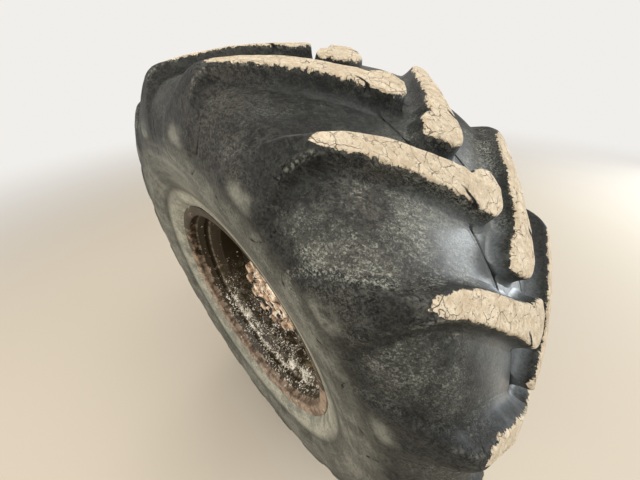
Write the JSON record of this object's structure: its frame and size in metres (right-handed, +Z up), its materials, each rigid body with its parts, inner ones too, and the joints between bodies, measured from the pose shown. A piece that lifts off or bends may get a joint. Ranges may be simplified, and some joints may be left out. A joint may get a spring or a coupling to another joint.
{
  "type": "site dumper wheel on its axle end",
  "caption": "Wide lugged tyre on a drop centre rim, bolted to a final drive hub that turns on an axle end with a round mounting flange.",
  "frame": {"origin": "centre of the axle arm's flange face, where the arm bolts to the axle's centre housing", "axes": "+Y along the wheel's axis, from the wheel towards the axle's centre; -Y outboard; +X forward; +Z up"},
  "size_m": [1.1154, 0.536, 1.1154],
  "materials": {
    "tyre": "worn rubber, sandy clay on the lugs",
    "rim": "rusted steel",
    "disc": "dirty dark steel",
    "hub": "rusty cast iron",
    "fasteners": "rusty steel",
    "axle": "dirty cast iron",
    "valve": "dull brass"
  },
  "bodies": {
    "axle_end": {"axle_arm": "axle", "spindle": "axle", "spindle_bolts": "fasteners"},
    "wheel": {"tyre": "tyre", "rim": "rim", "wheel_disc": "disc", "wheel_hub": "hub", "hub_cover": "hub", "wheel_nuts": "fasteners", "cover_bolts": "fasteners", "oil_plug": "fasteners", "valve_stem": "valve"}
  },
  "joints": [
    {"name": "wheel_spin", "type": "hinge", "parent": "axle_end", "child": "wheel", "pos_m": [0, -0.3, 0], "axis": [0, 1, 0], "continuous": true}
  ]
}
